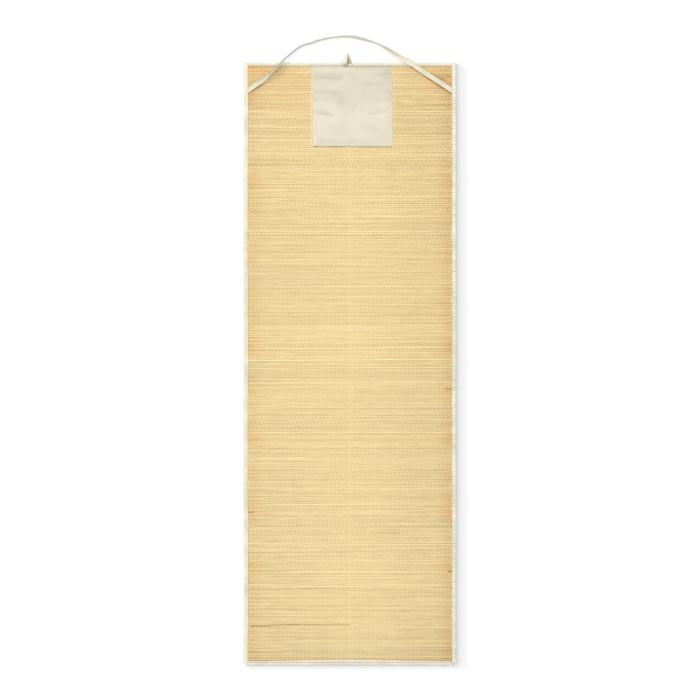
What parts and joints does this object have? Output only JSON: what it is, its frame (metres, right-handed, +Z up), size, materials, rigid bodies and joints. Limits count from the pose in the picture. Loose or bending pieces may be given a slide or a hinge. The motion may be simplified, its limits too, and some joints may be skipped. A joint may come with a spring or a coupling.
{
  "type": "straw beach mat",
  "caption": "Flat woven straw beach mat with taped edges, a patch pocket, a carry strap and a closing loop at one end.",
  "frame": {"origin": "middle of the mat's underside, on the floor", "axes": "+X across the mat to the picture's right, +Y along it towards the end with the strap, +Z up"},
  "size_m": [0.601, 1.7805, 0.018],
  "materials": {
    "straw": "matt woven straw",
    "binding_tape": "matt cream cotton tape",
    "pocket_cloth": "matt cream cotton cloth",
    "strap_tape": "matt cream cotton tape",
    "loop_tape": "matt cream cotton tape"
  },
  "bodies": {
    "root": {"straw_panel": "straw", "binding_left": "binding_tape", "binding_right": "binding_tape", "binding_top": "binding_tape", "binding_bottom": "binding_tape", "patch_pocket": "pocket_cloth", "carry_strap": "strap_tape", "closing_loop": "loop_tape"}
  },
  "joints": []
}
